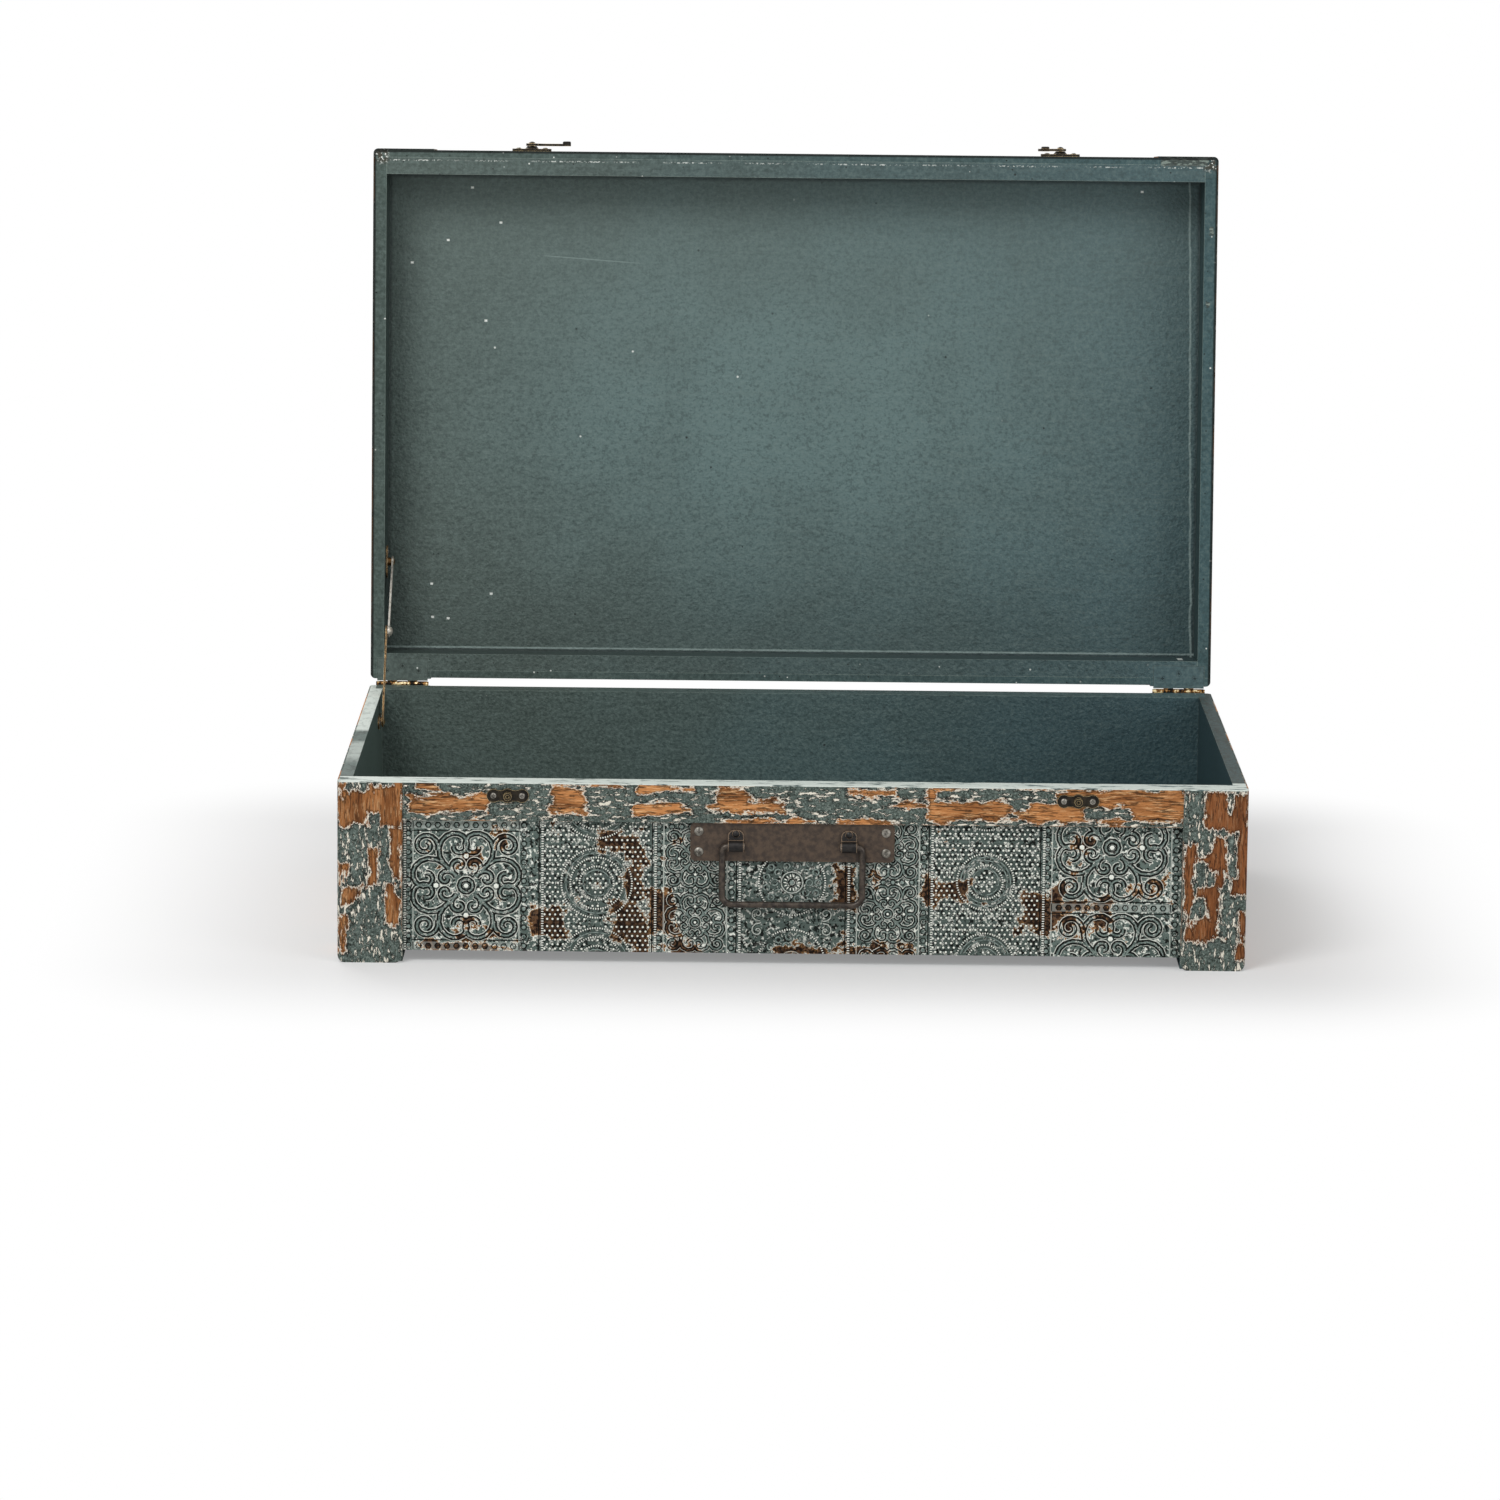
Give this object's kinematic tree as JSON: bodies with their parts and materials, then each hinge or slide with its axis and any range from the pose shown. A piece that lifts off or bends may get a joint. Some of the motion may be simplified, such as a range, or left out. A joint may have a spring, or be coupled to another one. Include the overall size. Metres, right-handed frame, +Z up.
{
  "type": "decorative storage trunk",
  "caption": "Flat wooden storage trunk with an embossed sheet front and hinged lid, a bail handle, two swing hooks and a folding lid stay.",
  "frame": {"origin": "on the floor, on the trunk's centre plane, under the middle of the open trunk's overall box (52.4 mm behind the middle of the case)", "axes": "+X to the right seen from the front, +Y to the back, +Z up"},
  "size_m": [0.7, 0.5568, 0.5915],
  "materials": {
    "painted_board": "matte grey-teal brush paint",
    "worn_board": "distressed teal paint over brown board",
    "worn_wood": "orange-brown wood with flaked teal paint",
    "embossed_sheet": "embossed sheet, rubbed teal paint with rust patches",
    "bronze_steel": "dark bronze, satin",
    "aged_brass": "aged brass",
    "screw_steel": "aged steel"
  },
  "bodies": {
    "case": {"bottom_panel": "painted_board", "front_board": "painted_board", "front_top_rail": "worn_wood", "back_board": "painted_board", "back_top_rail": "worn_wood", "left_side_board": "worn_board", "left_runner": "painted_board", "front_left_post": "worn_wood", "back_left_post": "worn_wood", "left_hinge_case_leaf": "aged_brass", "left_hinge_pin": "aged_brass", "left_striker": "aged_brass", "left_handle_lug": "bronze_steel", "right_side_board": "worn_board", "right_runner": "painted_board", "front_right_post": "worn_wood", "back_right_post": "worn_wood", "right_hinge_case_leaf": "aged_brass", "right_hinge_pin": "aged_brass", "right_striker": "aged_brass", "right_handle_lug": "bronze_steel", "front_embossed_sheet": "embossed_sheet", "handle_plate": "bronze_steel", "stay_case_bracket": "aged_brass", "case_hinge_screws": "aged_brass", "striker_screws": "screw_steel", "handle_screws": "screw_steel", "handle_rivets": "bronze_steel", "stay_case_screws": "screw_steel"},
    "lid": {"lid_top_board": "painted_board", "lid_embossed_sheet": "embossed_sheet", "lid_front_board": "painted_board", "lid_front_rail": "worn_wood", "lid_back_board": "painted_board", "lid_back_rail": "worn_wood", "lid_left_board": "worn_board", "lid_left_band": "worn_wood", "lid_front_left_post": "worn_wood", "lid_back_left_post": "worn_wood", "left_hinge_lid_leaf": "aged_brass", "left_catch_plate": "aged_brass", "left_catch_rivet": "aged_brass", "lid_right_board": "worn_board", "lid_right_band": "worn_wood", "lid_front_right_post": "worn_wood", "lid_back_right_post": "worn_wood", "right_hinge_lid_leaf": "aged_brass", "right_catch_plate": "aged_brass", "right_catch_rivet": "aged_brass", "stay_lid_bracket": "aged_brass", "lid_hinge_screws": "aged_brass", "catch_screws": "screw_steel", "stay_lid_screws": "screw_steel"},
    "left_hook": {"left_catch_hook": "aged_brass"},
    "right_hook": {"right_catch_hook": "aged_brass"},
    "bail": {"handle_bail": "bronze_steel"},
    "stay_lower": {"stay_lower_arm": "aged_brass"},
    "stay_upper": {"stay_upper_arm": "aged_brass"}
  },
  "joints": [
    {"name": "lid_hinge", "type": "hinge", "parent": "case", "child": "lid", "pos_m": [0, 0.17189, 0.1425], "axis": [-1, 0, 0], "range_deg": [-95.5, 0]},
    {"name": "left_hook_swing", "type": "hinge", "parent": "lid", "child": "left_hook", "pos_m": [-0.219, 0.22186, 0.58841], "axis": [0, -0.0958, -0.9954], "range_deg": [-110, 90]},
    {"name": "right_hook_swing", "type": "hinge", "parent": "lid", "child": "right_hook", "pos_m": [0.219, 0.22186, 0.58841], "axis": [0, -0.0958, -0.9954], "range_deg": [0, 200]},
    {"name": "bail_swing", "type": "hinge", "parent": "case", "child": "bail", "pos_m": [0, -0.27211, 0.094], "axis": [-1, 0, 0], "range_deg": [0, 170]},
    {"name": "stay_lower_swing", "type": "hinge", "parent": "case", "child": "stay_lower", "pos_m": [-0.3363, 0.09759, 0.1236], "axis": [-1, 0, 0], "range_deg": [-128.5, 0]},
    {"name": "stay_upper_swing", "type": "hinge", "parent": "lid", "child": "stay_upper", "pos_m": [-0.3345, 0.21156, 0.23934], "axis": [-1, 0, 0], "range_deg": [0, 98.3]}
  ],
  "couplings": [
    {"joint": "stay_lower_swing", "follows": "lid_hinge", "ratio": 1.3455},
    {"joint": "stay_upper_swing", "follows": "lid_hinge", "ratio": -1.0284}
  ]
}
